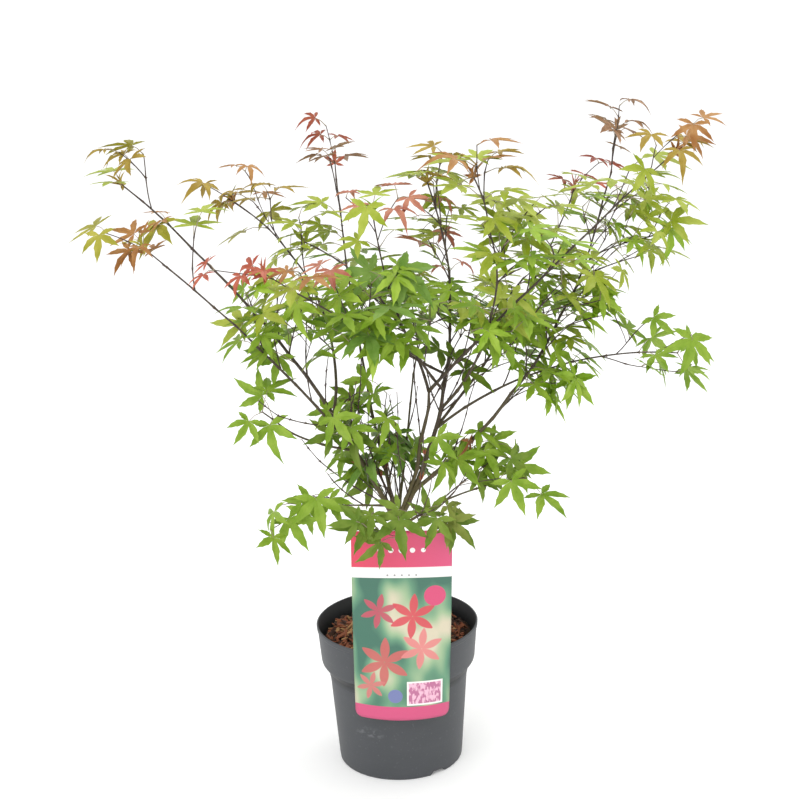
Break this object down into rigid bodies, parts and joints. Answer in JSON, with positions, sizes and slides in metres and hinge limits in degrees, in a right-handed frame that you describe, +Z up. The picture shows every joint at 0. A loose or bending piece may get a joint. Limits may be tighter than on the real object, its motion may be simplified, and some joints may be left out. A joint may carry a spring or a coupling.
{
  "type": "potted japanese maple",
  "caption": "Young Japanese maple with a fan of slim stems and lobed leaves, in a round plastic nursery pot with a plant label over its rim.",
  "frame": {"origin": "middle of the pot's flat underside, where it stands on the ground", "axes": "+Z up along the pot's axis, +Y away from the side that carries the label, +X to the right of the label as it is read"},
  "size_m": [0.7097, 0.4245, 0.7647],
  "materials": {
    "pot": "matt injection-moulded plastic, dark slate grey",
    "soil": "moist reddish-brown bark chips over compost",
    "label": null,
    "bark": "smooth grey-brown bark, dark purple-brown on the thin shoots",
    "leaves": "thin green maple leaves",
    "young_leaves": "thin orange-red and yellow-green young maple leaves"
  },
  "bodies": {
    "root": {"pot": "pot", "soil": "soil", "label": "label", "trunk": "bark", "left_leader": "bark", "main_stem": "bark", "centre_leader": "bark", "back_leader": "bark", "low_right_bough": "bark", "front_low_bough": "bark", "back_low_bough": "bark", "left_outer_bough": "bark", "left_back_bough": "bark", "low_left_bough": "bark", "lowest_left_bough": "bark", "inner_left_bough": "bark", "right_top_bough": "bark", "right_outer_bough": "bark", "far_right_bough": "bark", "right_back_bough": "bark", "front_right_bough": "bark", "front_leader": "bark", "left_front_bough": "bark", "far_left_leaves": "young_leaves", "upper_left_leaves": "leaves", "left_outer_leaves": "young_leaves", "left_back_leaves": "young_leaves", "left_front_leaves": "leaves", "front_left_leaves": "leaves", "back_top_leaves": "young_leaves", "inner_left_leaves": "leaves", "front_top_leaves": "leaves", "centre_top_leaves": "leaves", "front_right_leaves": "young_leaves", "centre_back_leaves": "leaves", "right_front_leaves": "leaves", "right_back_leaves": "young_leaves", "right_crest_leaves": "young_leaves", "upper_right_leaves": "leaves", "far_top_right_leaves": "young_leaves", "right_middle_leaves": "leaves", "far_right_leaves": "leaves", "middle_left_leaves": "leaves", "middle_front_leaves": "leaves", "middle_back_leaves": "leaves", "middle_right_leaves": "leaves", "outer_right_leaves": "leaves", "lower_left_leaves": "leaves", "hanging_right_leaves": "leaves", "low_centre_leaves": "leaves", "low_inner_left_leaves": "leaves", "low_left_leaves": "leaves", "lowest_left_leaves": "leaves", "front_low_left_leaves": "leaves", "front_low_right_leaves": "leaves", "low_inner_right_leaves": "leaves", "low_right_leaves": "leaves", "back_low_leaves": "leaves", "back_left_leaves": "leaves", "back_right_leaves": "leaves"}
  },
  "joints": []
}
